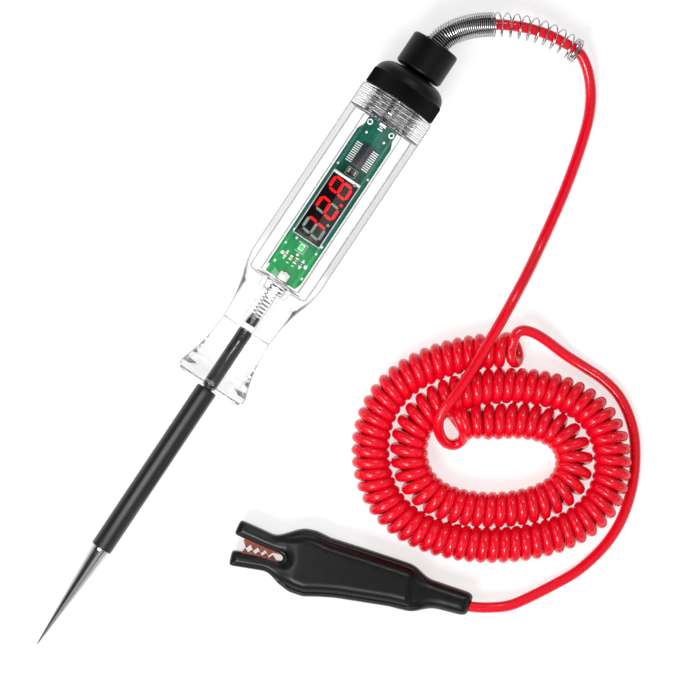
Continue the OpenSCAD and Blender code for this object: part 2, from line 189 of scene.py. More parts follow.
WHITE = (1.0, 1.0, 1.0)
# The grey below is painted shade: each clear plastic takes it, with less clearness, where it is seen edge on.
EDGE_SHADE_GREY = (0.03, 0.03, 0.034)
ACRYLIC_IOR = 1.49
clear = material("clear_plastic", WHITE, 0.02, vary=0.01, grain=60, bump=0.0, rub=0.5,
                 Transmission_Weight=1.0, IOR=ACRYLIC_IOR)
paint_edge_shade(clear, EDGE_SHADE_GREY, 0.68, 0.85, 0.04)
bore_clear = material("bore_plastic", WHITE, 0.02, vary=0.01, grain=60, bump=0.0, rub=0.5,
                      Transmission_Weight=1.0, IOR=ACRYLIC_IOR)
paint_edge_shade(bore_clear, EDGE_SHADE_GREY, 0.6, 0.8, 0.02)
plug_clear = material("plug_plastic", WHITE, 0.04, vary=0.01, grain=200, bump=0.0,
                      Transmission_Weight=1.0, IOR=1.45)
paint_edge_shade(plug_clear, (0.015, 0.015, 0.018), 0.34, 0.5, 0.1)
# The rod's chrome gets a dark base colour: painted shade for the dark reflections that it shows.
rod_steel = material("rod_chrome_painted_dark", (0.09, 0.09, 0.094), 0.2, 1.0, vary=0.06, grain=500, bump=0.03)
needle_steel = material("needle_steel", (0.62, 0.61, 0.6), 0.13, 1.0, vary=0.12, grain=900, bump=0.15,
                        depth=0.00002, stretch=(1, 14, 14))
sleeve_black = material("sleeve_black", (0.001, 0.001, 0.0012), 0.34, vary=0.2, grain=700, bump=0.06,
                        Specular_IOR_Level=0.75)
cap_black = material("cap_black", (0.0025, 0.0025, 0.003), 0.4, vary=0.3, grain=1500, bump=0.15,
                     depth=0.00004, Specular_IOR_Level=0.22)
spring_steel = material("spring_steel", (0.5, 0.5, 0.51), 0.14, 1.0, vary=0.08, grain=1200, bump=0.05)
contact_steel = material("contact_steel", (0.14, 0.14, 0.145), 0.2, 1.0, vary=0.08, grain=1200, bump=0.05)
tinned = material("tinned_metal", (0.9, 0.91, 0.92), 0.35, 0.35, vary=0.1, grain=2500, bump=0.2,
                  depth=0.00003)
gold = material("gold_metal", (0.78, 0.6, 0.3), 0.25, 1.0, vary=0.12, grain=1500, bump=0.1)
copper = material("jaw_copper", (0.2, 0.062, 0.042), 0.36, 1.0, vary=0.7, grain=1400, bump=0.5, depth=0.0001)
board_green = along_board("board_green", (0.0, 0.2, 0.045), (0.0, 0.078, 0.052),
                          rough=0.45, grain=500, bump=0.08)
track_green = along_board("track_green", (0.002, 0.28, 0.07), (0.001, 0.12, 0.082),
                          rough=0.4, grain=700, bump=0.05)
silk_white = material("silk_white", (0.75, 0.78, 0.76), 0.6, vary=0.1, grain=3000, bump=0.1)
display_black = material("display_black", (0.002, 0.002, 0.003), 0.16, vary=0.3, grain=400, bump=0.02,
                         Specular_IOR_Level=0.4)
display_grey = material("display_grey", (0.55, 0.57, 0.58), 0.5, vary=0.08, grain=900, bump=0.1)
digit_red = material("segment_red", (0.5, 0.002, 0.002), 0.4, vary=0.02, grain=900, Specular_IOR_Level=0.1,
                     Emission_Color=(1.0, 0.003, 0.002, 1), Emission_Strength=0.9)
digit_grey = material("segment_grey", (0.15, 0.17, 0.155), 0.45, vary=0.1, grain=900, Specular_IOR_Level=0.2)
led_green = material("led_green", (0.0, 0.6, 0.05), 0.3, vary=0.02, grain=900,
                     Emission_Color=(0.004, 1.0, 0.03, 1), Emission_Strength=1.4)
chip_black = material("chip_black", (0.005, 0.006, 0.014), 0.4, vary=0.25, grain=2500, bump=0.3,
                      depth=0.00003)
ceramic = material("capacitor_tan", (0.42, 0.33, 0.22), 0.4, vary=0.15, grain=2500, bump=0.1)
diode_brown = material("diode_glass", (0.16, 0.05, 0.03), 0.2, vary=0.2, grain=1500, bump=0.05)
cord_red = material("cord_red", (0.82, 0.0004, 0.016), 0.26, vary=0.08, grain=260, bump=0.03, rub=0.3,
                    Specular_IOR_Level=0.25, Coat_Weight=0.5, Coat_Roughness=0.09)
boot_black = material("boot_rubber", (0.003, 0.003, 0.0035), 0.34, vary=0.3, grain=420, bump=0.08,
                      depth=0.00006, Specular_IOR_Level=0.3)


# ---------------------------------------------------------------- shapes
PITCH = 1.5


def ridge(along):
    """The thread's section, from 0 to 1: a flat crest, steep flanks and a flat root in each pitch."""
    return min(1.0, max(0.0, 2.0 - abs((along / PITCH) % 1.0 - 0.5) * 7.0))


def angles(sides):
    """Angles evenly round a circle."""
    return [2 * math.pi * k / sides for k in range(sides)]


class Shape:
    """Collects forms into one mesh; each form gets the material index that is set when it is added."""

    def __init__(self, name, *materials):
        self.name = name
        self.bm = bmesh.new()
        self.materials = materials
        self.index = 0

    def use(self, index):
        """Sets the material index for the forms added from here on."""
        self.index = index
        return self

    def add(self, points, faces):
        verts = [self.bm.verts.new(p) for p in points]
        for face in faces:
            made = self.bm.faces.new([verts[i] for i in face])
            made.material_index = self.index
            made.smooth = True
        return verts

    def grid(self, rows, ends=True, along=False):
        """Skins closed rows of points; along joins the last row to the first, else ends caps them both."""
        n, m = len(rows), len(rows[0])
        points = [p for row in rows for p in row]
        faces = []
        for i in range(n if along else n - 1):
            for k in range(m):
                a, b = i * m + k, i * m + (k + 1) % m
                c, d = ((i + 1) % n) * m + (k + 1) % m, ((i + 1) % n) * m + k
                faces.append((a, b, c, d))
        if ends and not along:
            faces.append(tuple(range(m - 1, -1, -1)))
            faces.append(tuple((n - 1) * m + k for k in range(m)))
        self.add(points, faces)

    def lathe(self, outline, sides=96, ribs=0, loop=False):
        """Turns (distance back, radius, rib depth, thread height) points about the tester's axis.

        The rib depth and thread height may be left out, and loop joins the last point to the first.
        """
        rows = []
        for back, radius, *extra in outline:
            depth, thread = (extra + [0.0, 0.0])[:2]
            row = []
            for k in range(sides):
                a = 2 * math.pi * k / sides
                r = radius - depth * (0.5 - 0.5 * math.cos(ribs * a)) ** 0.7 if depth else radius
                if thread:
                    r += thread * ridge(back - PITCH * k / sides)
                row.append(at(back, r * math.cos(a), r * math.sin(a)))
            rows.append(row)
        self.grid(rows, ends=not loop, along=loop)

    def wire(self, points, r, sides):
        """A round wire of radius r, in mm, through points given in metres."""
        n = len(points)
        tangents = [(points[min(i + 1, n - 1)] - points[max(i - 1, 0)]).normalized() for i in range(n)]
        side = tangents[0].orthogonal().normalized()
        rows = []
        for i in range(n):
            side = (side - tangents[i] * side.dot(tangents[i])).normalized()
            other = tangents[i].cross(side)
            rows.append([points[i] + r * MM * (math.cos(a) * side + math.sin(a) * other)
                         for a in angles(sides)])
        self.grid(rows)

    def slab(self, low, high, round_by, steps=2):
        """A box between two corners in metres, its edges rounded by round_by, in mm."""
        low, high = Vector(low), Vector(high)
        before = set(self.bm.faces)
        made = bmesh.ops.create_cube(self.bm, size=1.0)["verts"]
        for v in made:
            v.co = Vector([(low[i] + high[i]) / 2 + v.co[i] * (high[i] - low[i]) for i in range(3)])
        edges = list(dict.fromkeys(e for v in made for e in v.link_edges))
        bmesh.ops.bevel(self.bm, geom=edges, offset=round_by * MM, segments=steps, profile=0.5,
                        affect="EDGES", clamp_overlap=True)
        for face in set(self.bm.faces) - before:
            face.material_index = self.index
            face.smooth = True

    def plate(self, outline, z0, z1, edge):
        """A flat plate of a (distance back, across) outline, its upper edge eased."""
        cx = sum(p[0] for p in outline) / len(outline)
        cy = sum(p[1] for p in outline) / len(outline)
        inner = [(cx + (x - cx) * (1 - edge / 12), cy + (y - cy) * (1 - edge / 6)) for x, y in outline]
        rows = [[at(x, y, z0) for x, y in outline], [at(x, y, z1 - edge) for x, y in outline],
                [at(x, y, z1) for x, y in inner]]
        self.grid(rows)

    def done(self, body, *nodes, slot, sharp=38):
        """Makes the object, rides it on its body unless that is None, and hides the CAD nodes that it
        replaces. The slot is not used.
        """
        bmesh.ops.recalc_face_normals(self.bm, faces=self.bm.faces)
        mesh = bpy.data.meshes.new(self.name)
        self.bm.to_mesh(mesh)
        self.bm.free()
        mesh.set_sharp_from_angle(angle=math.radians(sharp))
        obj = bpy.data.objects.new(self.name, mesh)
        scene.collection.objects.link(obj)
        for m in self.materials:
            mesh.materials.append(m)
        if body:
            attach(obj, body)
        if nodes:
            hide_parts(*nodes)
        return obj


def spline(points, per):
    """A smooth run through the given points, per points from each to the next, by centripetal Catmull-Rom."""
    pts = [Vector(p) for p in points]
    pts = [2 * pts[0] - pts[1]] + pts + [2 * pts[-1] - pts[-2]]
    out = []
    for i in range(1, len(pts) - 2):
        p0, p1, p2, p3 = pts[i - 1:i + 3]
        t1 = (p1 - p0).length ** 0.5
        t2 = t1 + (p2 - p1).length ** 0.5
        t3 = t2 + (p3 - p2).length ** 0.5
        for k in range(per):
            t = t1 + (t2 - t1) * k / per
            a1 = p0 * ((t1 - t) / t1) + p1 * (t / t1)
            a2 = p1 * ((t2 - t) / (t2 - t1)) + p2 * ((t - t1) / (t2 - t1))
            a3 = p2 * ((t3 - t) / (t3 - t2)) + p3 * ((t - t2) / (t3 - t2))
            b1 = a1 * ((t2 - t) / t2) + a2 * (t / t2)
            b2 = a2 * ((t3 - t) / (t3 - t1)) + a3 * ((t - t1) / (t3 - t1))
            out.append(b1 * ((t2 - t) / (t2 - t1)) + b2 * ((t - t1) / (t2 - t1)))
    out.append(pts[-2])
    return out


def arc(back, r, size, a0, a1, steps=6):
    """Points of an arc for a lathe outline, its centre at (back, r)."""
    return [(back + size * math.sin(math.radians(a0 + (a1 - a0) * i / steps)),
             r + size * math.cos(math.radians(a0 + (a1 - a0) * i / steps))) for i in range(steps + 1)]


# ---------------------------------------------------------------- the cord
# All in mm. RING is the oval that the curly part runs round: its middle, the turn of its long axis, its half
# axes at angle 0, what they lose in each full round, and how far its corners are squared. The coil's phases
# are in degrees.
CORD_R = 1.85
CURL_R = 4.15
CURL_Z = 6.0
RING = dict(x=18.0, y=-94.4, turn=-56.3, long=50.2, short=38.6, long_step=12.9, short_step=11.9, square=0.035)
RING_FIRST, RING_LAST = 850.0, 86.5
COIL_PHASE_FIRST, COIL_PHASE_LAST = 95.0, 20.0
COIL_PITCH = 3.45
COIL_TIGHTEST = 0.86
COIL_EXTRA_WIDTH = 0.15
COIL_SPREAD = 0.4
LEAN = 42.0
LEAN_TURNS = 1.7
INNER_SHIFT = Vector((1.5, 2.3, 0))
INNER_TURNS = 3.5
EXIT = (120.4, 0, 13.6)
GUARD = [EXIT, (124, -0.8, 13.6), (128, -3, 13.4), (132, -6.4, 13), (136, -11.2, 12.2),
         (139.4, -16.6, 11.2), (142, -22, 10), (144, -28, 8.6), (145, -34, 7.2), (145.2, -41, 6)]
LEAD = [(143, -45.4, 4.8), (139.4, -49.4, 3.4), (135, -52.8, 2.5), (129, -55.9, 2.1), (122, -58.3, 1.9),
        (112, -61, 1.9), (102, -63.2, 1.9), (93, -64.8, 2.1), (84, -66.2, 3.4), (75, -67.4, 7.4),
        (66, -68.2, 12), (58, -68.8, 14.2), (48, -69.4, 14.2), (36, -69.9, 14.2), (26, -69.8, 14.2)]
INNER_LOOP = [(20.4, -69.5, 13.6), (17, -69.9, 12.6), (14.2, -71.5, 10.4), (12.2, -74.2, 7.2),
              (11.6, -77, 4.2), (12.7, -79.4, 2.4), (15.1, -80.5, 3.2), (17.5, -79.7, 6.4),
              (19.4, -77.5, 9.2), (21, -75, 9.9), (22.2, -73.4, 8.4)]
OUTER_LOOP = [(53.4, -75.9, 8.7), (55.6, -75.9, 8.2), (57.3, -77.2, 7.5), (58.4, -80, 6.6),
              (58.8, -84.2, 5.2)]
TAIL = [(58.4, -94, 2.6), (58.6, -102, 1.9), (58.6, -108.5, 1.9), (57.3, -115.3, 1.9), (54, -121.7, 1.9),
        (49, -127.6, 1.9), (42.6, -132.4, 1.9), (36, -136, 1.9), (29, -138.6, 1.9), (21.4, -140.2, 1.9),
        (13.6, -140.3, 1.9), (6, -139, 2), (-1, -136.8, 2.4), (-8, -133.2, 3), (-15, -129.2, 4),
        (-22, -124.5, 5), (-26.4, -119.1, 5.8), (-29.2, -114.5, 6)]
CLIP = Matrix.Translation(Vector((-48.3, -59.6, 6.0))) @ Matrix.Rotation(math.radians(-66), 4, "Z")


def clip(x, y, z=0.0):
    """A point in the clip's own frame, x back from its pivot and y to the moving jaw, in mm, as metres."""
    return (CLIP @ Vector((x, y, z))) * MM


def ring_point(a):
    """The ring's own line at an angle in degrees, spiralling in as the angle grows."""
    r = math.radians(a)
    q = RING["square"]
    x = (RING["long"] - RING["long_step"] * a / 360) * (math.cos(r) - q * math.cos(3 * r)) / (1 - q)
    y = (RING["short"] - RING["short_step"] * a / 360) * math.sin(r)
    c, s = math.cos(math.radians(RING["turn"])), math.sin(math.radians(RING["turn"]))
    return Vector((RING["x"] + x * c - y * s, RING["y"] + x * s + y * c, CURL_Z))


def coil_points(steps=6000, reach=60, per=16):
    """The curly part, from the ring's inner end to its outer one: its last turns lean open.

    steps is how finely the ring is walked, reach how far to each side its bend is taken, and per how many
    points a turn has.
    """
    path = [ring_point(RING_FIRST + (RING_LAST - RING_FIRST) * i / steps) for i in range(steps + 1)]
    length = [0.0]
    for i in range(steps):
        length.append(length[-1] + (path[i + 1] - path[i]).length)
    turns = [0.0]
    for i in range(steps):
        j0, j1 = max(0, i - reach), min(steps, i + reach)
        u = (path[(j0 + j1) // 2] - path[j0]).normalized()
        v = (path[j1] - path[(j0 + j1) // 2]).normalized()
        bend = u.angle(v, 0.0) / max(1e-6, (length[j1] - length[j0]) / 2)
        pitch = COIL_PITCH / max(COIL_TIGHTEST, 1 - 0.5 * CURL_R * bend)
        turns.append(turns[-1] + (length[i + 1] - length[i]) / pitch)
    part_turn = (COIL_PHASE_LAST - COIL_PHASE_FIRST) / 360
    total = round(turns[-1] - part_turn) + part_turn
    scale = total / turns[-1]
    out = []
    count = int(total * per)
    j = 0
    for k in range(count + 1):
        t = total * k / count
        while j < steps - 1 and turns[j + 1] * scale < t:
            j += 1
        f = (t - turns[j] * scale) / ((turns[j + 1] - turns[j]) * scale)
        centre = path[j].lerp(path[j + 1], min(1, max(0, f)))
        ahead = (path[min(j + 8, steps)] - path[max(j - 8, 0)]).normalized()
        lean = math.radians(LEAN) * smooth(1 - (total - t) / LEAN_TURNS)
        centre = centre + ahead * (CURL_R * math.sin(lean)) + INNER_SHIFT * smooth(1 - t / INNER_TURNS)
        centre.z = CORD_R + CURL_R * math.cos(lean)
        up = Vector((0, 0, 1)) * math.cos(lean) - ahead * math.sin(lean)
        side = Vector((0, 0, 1)).cross(ahead)
        psi = math.radians(COIL_PHASE_FIRST) + 2 * math.pi * t
        wide = CURL_R + COIL_EXTRA_WIDTH + COIL_SPREAD * abs(ahead.dot(UP))
        out.append(centre + CURL_R * math.cos(psi) * up + wide * math.sin(psi) * side)
    return out


coil = coil_points()
# Each run goes on into the coil's own points, which are cut off again, so that the joins stay smooth.
lead_run = spline([(112, 0, AXIS_Z)] + GUARD + LEAD + INNER_LOOP + coil[:3], 6)[:-12]
crimp = CLIP @ Vector((38.5, -4.6, 0))
tail_run = spline(coil[-3:] + OUTER_LOOP + TAIL + [crimp.lerp(Vector(TAIL[-1]), 0.5), crimp], 6)[13:]
route = [Vector(p) for p in lead_run] + coil + [Vector(p) for p in tail_run]
curve = bpy.data.curves.new("cord", "CURVE")
curve.dimensions = "3D"
curve.bevel_depth = CORD_R * MM
curve.bevel_resolution = 4
curve.use_fill_caps = True
run = curve.splines.new("POLY")
run.points.add(len(route) - 1)
for i, p in enumerate(route):
    run.points[i].co = (*(p * MM), 1)
run.use_smooth = True
cord = bpy.data.objects.new("cord", curve)
scene.collection.objects.link(cord)
curve.materials.append(cord_red)
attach(cord, "lead")
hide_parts("cord_lead", "curly_cord", "cord_tail")
# The clear plastic does not refract the lead, so that no red lines run along its edges.
cord.visible_transmission = False

# ---------------------------------------------------------------- the probe
# Turned pieces are outlines of (distance back, radius) in mm. AXIS_R closes a solid one's ends on the axis.
AXIS_R = 0.02
ROD_R = 1.7
SLEEVE_R = 3.64
SLEEVE_BORE = 1.78
needle = Shape("probe_needle_turned", needle_steel)
taper = [(0.5 + 37 * t, 0.2 + 2.85 * t ** 0.94) for t in (i / 24 for i in range(1, 25))]
needle.lathe([(0, AXIS_R), (0.12, 0.12), (0.5, 0.2)] + taper +
             [(37.9, 3.1), (38.6, 3.1), (39.2, 3.05), (40, 3.05)], 72)
needle.done("handle", "probe_needle", slot="needle_steel")

rod = Shape("probe_rod_turned", rod_steel)
rod.lathe([(38, ROD_R), (125.5, ROD_R), (126.1, 1.3), (126.3, 0.4)], 64)
rod.done("handle", "probe_rod", slot="rod_chrome")

sleeve = Shape("probe_sleeve_moulded", sleeve_black)
sleeve.lathe([(39.0, 3.12)] + arc(39.4, 3.25, 0.38, -90, 0) + [(60, SLEEVE_R), (101, SLEEVE_R)] +
             arc(102.2, 3.05, 0.59, 0, 90) + [(102.8, SLEEVE_BORE), (39.0, SLEEVE_BORE)], 80, loop=True)
sleeve.done("handle", "probe_sleeve", slot="black_plastic")

# ---------------------------------------------------------------- the clear handle
WAIST_R = 9.2
BARREL_R = 13.6
BORE_R = 7.6
SPRING_BORE = 2.2
THREAD_R = 9.5
nose = Shape("nose_clear", clear)
waist = [(x, WAIST_R + 3.5 * ((125.5 - x) / 18.5) ** 2) for x in (107 + 18.5 * i / 14 for i in range(15))]
flare = arc(105.7, 10.7, 2.0, -86, -42, 5) + [(104.5, 11.8), (104.85, 11.8), (104.95, 12.52)]
flare += arc(105.7, 10.7, 2.0, -20, 0, 3) + [(106.4, 12.7)]
nose.lathe([(103.7, AXIS_R), (103.7, 4.0), (103.75, 8.0)] + flare + waist +
           arc(126.0, 8.8, 0.4, 0, 90, 4) + [(126.4, 4.0), (126.4, AXIS_R)], 128)
nose_made = nose.done("handle", "nose_piece", slot="clear_plastic")

barrel = Shape("barrel_clear", clear, bore_clear)
neck = [(x, WAIST_R + 2.6 * ((x - 126.5) / 15.8) ** 2) for x in (126.9 + 15.4 * i / 14 for i in range(15))]
shoulder = [(142.3 + 10 * i / 12, 11.9 + 1.7 * math.sin(math.pi / 2 * i / 12)) for i in range(1, 13)]
thread = [(217.0 - 8.0 * i / 128, THREAD_R + 0.4 * ridge(8.0 * i / 128)) for i in range(129)]
thread += [(208.9, THREAD_R), (208.7, 9.4), (208.4, 7.9)]
bore = [(208.1, BORE_R), (180, BORE_R), (147.2, BORE_R)] + arc(147.0, 6.2, 1.4, 0, -90, 6)[1:]
bore += [(145.6, 4.1), (145.3, 3.75), (142.9, 3.6), (142.6, 3.3), (142.4, 2.25)]
bore += [(140, SPRING_BORE), (130, SPRING_BORE)]
barrel.lathe([(126.5, SPRING_BORE), (126.5, 6.0)] + arc(126.9, 8.8, 0.4, -90, 0, 4) + neck + shoulder +
             [(180, BARREL_R)] + arc(216.5, 12.8, 0.8, 0, 90, 6) + [(217.3, 9.9)] + thread + bore,
             144, loop=True)
for face in barrel.bm.faces:
    middle = face.calc_center_median()
    if math.hypot(middle.y, middle.z - AXIS_Z * MM) < (BORE_R + 0.3) * MM:
        face.material_index = 1
barrel_made = barrel.done("handle", "handle_shell", slot="clear_plastic")


# ---------------------------------------------------------------- springs in the handle
def coil_wire(start, end, r0, r1, turns, per=18):
    """Points of a spring along the axis, its pitch even."""
    out = []
    n = int(turns * per)
    for i in range(n + 1):
        t = i / n
        a = 2 * math.pi * turns * t
        r = r0 + (r1 - r0) * t
        out.append(at(start + (end - start) * t, r * math.cos(a), r * math.sin(a)))
    return out


# The contact spring is close-wound on the rod, then open, and flares off the axis towards the contact tab.
COIL_R = 1.75
FLARE = 0.7
FLARE_STEPS = 89
spring = Shape("contact_spring_wire", contact_steel)
close_part = coil_wire(128.7, 132.4, 1.72, 1.72, 9)
open_part = coil_wire(132.4, 142.4, 1.72, COIL_R, 7)
flared = []
for i in range(FLARE_STEPS + 1):
    t = i / FLARE_STEPS
    a = 2 * math.pi * (16 + 4.6 * t)
    off = FLARE * smooth(t * 4)
    flared.append(at(142.4 + 4.9 * t, -off + (COIL_R + off) * math.cos(a), (COIL_R + off) * math.sin(a)))
spring.wire(close_part + open_part[1:] + flared[1:], 0.22, 8)
end_ring = [at(147.0 + 0.1 * math.sin(k), -FLARE + 2.45 * math.cos(2 * math.pi * k / 24),
               2.45 * math.sin(2 * math.pi * k / 24)) for k in range(25)]
spring.wire(end_ring, 0.3, 8)
spring.done("handle", "contact_spring", slot="spring_steel")

rear = Shape("rear_contact_wire", contact_steel)
rear.wire(coil_wire(209.2, 219.0, 1.6, 2.1, 9, per=20), 0.3, 8)
rear.done("lead", "rear_contact_spring", slot="spring_steel")

# ---------------------------------------------------------------- the board
# TOP is the board's upper face, above the tester's axis; parts on it stand from TOP up.
TOP = -1.1
BOARD_THICK = 1.0
TIN, PRINT, TRACK = 1, 2, 3
board = Shape("board_laminate", board_green, tinned, silk_white, track_green)
board.plate([(147.2, -5.8), (149.6, -7.2), (202.7, -7.2), (205.1, -5.85), (209, -5.85), (209, 5.85),
             (205.1, 5.85), (202.7, 7.2), (149.6, 7.2), (147.2, 5.8)], TOP - BOARD_THICK, TOP, 0.06)
board.use(TRACK)


def track(points, width, z=TOP, thick=0.05):
    """A flat copper track under the lacquer, mitred at its corners."""
    left, right = [], []
    n = len(points)
    for i in range(n):
        p = Vector(points[i])
        d0 = (p - Vector(points[i - 1])).normalized() if i else (Vector(points[1]) - p).normalized()
        d1 = (Vector(points[i + 1]) - p).normalized() if i < n - 1 else d0
        d = (d0 + d1).normalized()
        normal = Vector((-d.y, d.x)) * (width / 2 / max(0.5, d.dot(d0)))
        left.append(p + normal)
        right.append(p - normal)
    rows = []
    for i in range(n):
        rows.append([at(left[i].x, left[i].y, z), at(left[i].x, left[i].y, z + thick),
                     at(right[i].x, right[i].y, z + thick), at(right[i].x, right[i].y, z)])
    board.grid(rows)


for y0, y1, bend in ((-6.2, -5.2, 176), (-5.4, -6.3, 182), (5.3, 6.2, 172), (6.1, 5.6, 190)):
    track([(150.5, y0), (bend, y0), (bend + abs(y1 - y0), y1), (201, y1)], 0.34)
for width, path in ((0.5, [(148.4, 4.8), (151.5, 4.8), (153.2, 3.4)]),
                    (0.5, [(148.4, -4.6), (151.8, -4.6), (153.4, -3.2)]),
                    (0.4, [(156.2, -3.2), (158, -1.4), (160, -1.4)]),
                    (0.4, [(156.2, 3.2), (157.6, 1.6), (160.4, 1.6)]),
                    (0.4, [(188, 4.2), (190, 4.2), (191.4, 5.4), (203, 5.4)]),
                    (0.4, [(188, -4.4), (190.2, -4.4), (191.2, -5.4), (203.5, -5.4)])):
    track(path, width)
for i in range(4):
    track([(200.6, -2.8 + 1.7 * i), (202.4, -2.2 + 1.4 * i), (205.4, -2.0 + 1.3 * i)], 0.3)


def disc(shape, x, y, r, z0, z1, hole=0.0, sides=20, dome=0.0):
    """A small pad or blob standing on the board: flat, with a hole, or domed to a height."""
    rings = [(r, z0), (r, z0 + (z1 - z0) * 0.5), (r * 0.86, z1)]
    if hole:
        rings += [(hole, z1), (hole, z0)]
    elif dome:
        rings = [(r * math.cos(t), z0 + dome * math.sin(t)) for t in (math.pi / 2 * i / 7 for i in range(7))]
        rings.append((0.06 * r, z0 + dome))
    rows = [[at(x + q * math.cos(a), y + q * math.sin(a), z) for a in angles(sides)] for q, z in rings]
    shape.grid(rows, ends=not hole, along=bool(hole))


board.use(TIN)
for x, y in ((151, -6.2), (151.2, 5.3), (157.9, 5.6), (160.2, -5.5), (189.6, 5.9), (190.3, -6.2),
             (203.2, 3.4), (203.4, -3.6), (161.2, 3.2), (156.6, -0.2)):
    disc(board, x, y, 0.42, TOP, TOP + 0.06, 0.16)
board.use(PRINT)


def outline_box(x0, x1, y0, y1, w=0.16):
    """A printed rectangle on the board, its lines w wide."""
    for a, b in (((x0, y0), (x1, y0)), ((x1, y0), (x1, y1)), ((x1, y1), (x0, y1)), ((x0, y1), (x0, y0))):
        board.slab(at(min(a[0], b[0]) - w / 2, min(a[1], b[1]) - w / 2, TOP),
                   at(max(a[0], b[0]) + w / 2, max(a[1], b[1]) + w / 2, TOP + 0.05), 0.02, 1)


outline_box(188.0, 190.7, -1.9, 1.9)
outline_box(157.6, 160.9, -1.6, 1.6)
board.slab(at(148.4, 6.1, TOP), at(149.8, 6.9, TOP + 0.06), 0.03, 1)
for y in (-0.9, 1.2):
    board.slab(at(152.4, y - 0.4, TOP), at(152.7, y + 0.4, TOP + 0.05), 0.02, 1)
board.done("handle", "circuit_board", slot="board_green", sharp=30)

tab = Shape("contact_tab_plated", tinned)
tab.slab(at(147.3, -2.2, TOP), at(150.0, 1.4, TOP + 0.5), 0.14)
tab.slab(at(147.7, -1.6, TOP + 0.45), at(149.2, 0.8, TOP + 1.5), 0.3, 3)
disc(tab, 149.6, -0.5, 0.7, TOP + 0.45, TOP + 0.9, dome=0.45)
tab.done("handle", "contact_tab", slot="tinned_metal")

parts = Shape("board_resistors", chip_black, tinned, display_grey)
for x0, x1, y0, y1 in ((153.6, 155.6, -3.8, -2.6), (153.6, 155.6, -1.5, -0.3), (206.0, 207.9, -0.9, 0.9)):
    parts.use(0).slab(at(x0 + 0.3, y0, TOP), at(x1 - 0.3, y1, TOP + 0.58), 0.06)
    parts.use(1)
    for a, b in ((x0, x0 + 0.42), (x1 - 0.42, x1)):
        parts.slab(at(a, y0 - 0.02, TOP), at(b, y1 + 0.02, TOP + 0.6), 0.1)
    parts.use(2).slab(at(x0 + 0.75, y0 + 0.35, TOP + 0.57), at(x1 - 0.75, y1 - 0.35, TOP + 0.6), 0.01, 1)
parts.done("handle", "chip_resistors", slot="chip_black")

caps = Shape("board_capacitors", ceramic, tinned)
for y0 in (0.6, 2.7):
    caps.use(0).slab(at(154.0, y0, TOP), at(155.3, y0 + 1.0, TOP + 0.78), 0.1)
    caps.use(1)
    for a, b in ((153.8, 154.15), (155.1, 155.4)):
        caps.slab(at(a, y0 - 0.02, TOP), at(b, y0 + 1.02, TOP + 0.8), 0.1)
caps.done("handle", "chip_capacitors", slot="capacitor_tan")

blobs = Shape("board_solder", tinned)
for x, y, r, h in ((154.6, -4.9, 0.7, 0.45), (154.6, 4.6, 0.7, 0.45), (153.2, -3.2, 0.35, 0.3),
                   (156, -3.2, 0.35, 0.3), (153.3, 3.2, 0.35, 0.3), (155.9, 3.2, 0.35, 0.3),
                   (163.2, 5.6, 0.5, 0.5), (163.2, -5.8, 0.5, 0.5)):
    disc(blobs, x, y, r, TOP, TOP + h, dome=h)
for y in (-4.4, 4.4):
    disc(blobs, 206.7, y, 1.0, TOP, TOP + 0.15, 0.6, 28)
blobs.done("handle", "solder_pads", slot="tinned_metal")

led = Shape("indicator_lens", led_green, display_grey, tinned)
led.use(1).slab(at(158.2, -1.0, TOP), at(160.6, 1.0, TOP + 0.5), 0.08)
led.use(2)
for a, b in ((158.2, 158.55), (160.25, 160.6)):
    led.slab(at(a, -0.9, TOP), at(b, 0.9, TOP + 0.52), 0.06)
led.use(0)
disc(led, 159.4, 0, 0.85, TOP + 0.48, TOP + 1.1, dome=0.6, sides=28)
led.done("handle", "indicator_led", slot="led_green")

chip = Shape("driver_chip_moulded", chip_black, tinned)
chip.slab(at(191.6, -2.0, TOP + 0.2), at(199.6, 2.0, TOP + 1.7), 0.14, 2)
for y in (-2.0, 2.0):
    chip.slab(at(191.66, y - 0.04, TOP + 0.86), at(199.54, y + 0.04, TOP + 1.0), 0.03, 1)
disc(chip, 192.7, -1.2, 0.36, TOP + 1.69, TOP + 1.715)
chip.done("handle", "driver_chip", slot="chip_black")

PIN_PITCH = 0.76
PIN_WIDTH = 0.3
PIN_BEND = ((2.02, 0.98), (2.5, 0.96), (2.75, 0.86), (2.9, 0.6), (3.05, 0.28), (3.3, 0.16), (3.8, 0.14),
            (4.4, 0.14))
pins = Shape("chip_pins_bent", tinned)
for side in (-1, 1):
    for i in range(10):
        x = 192.0 + PIN_PITCH * i
        rows = []
        for y, z in PIN_BEND:
            low, high = TOP + z - 0.11, TOP + z + 0.02
            rows.append([at(x, side * y, low), at(x + PIN_WIDTH, side * y, low),
                         at(x + PIN_WIDTH, side * y, high), at(x, side * y, high)])
        pins.grid(rows)
        disc(pins, x + PIN_WIDTH / 2, side * 4.25, 0.2, TOP, TOP + 0.16, dome=0.16, sides=10)
pins.done("handle", "chip_pins", slot="tinned_metal")

diode = Shape("diode_body", diode_brown, tinned)
diode.slab(at(188.7, -0.95, TOP + 0.05), at(190.4, 0.95, TOP + 1.08), 0.4, 4)
diode.use(1)
for a, b in ((-1.4, -0.8), (0.8, 1.4)):
    diode.slab(at(188.75, a, TOP), at(190.35, b, TOP + 0.95), 0.25, 3)
diode.done("handle", "diode", slot="diode_glass")

pad = Shape("ground_pad_plated", tinned)
pad.slab(at(208.42, -1.6, TOP), at(209.0, 1.6, TOP + 2.2), 0.18, 3)
pad.slab(at(207.4, -1.2, TOP), at(208.6, 1.2, TOP + 0.3), 0.1, 2)
pad.done("handle", "ground_pad", slot="gold_metal")

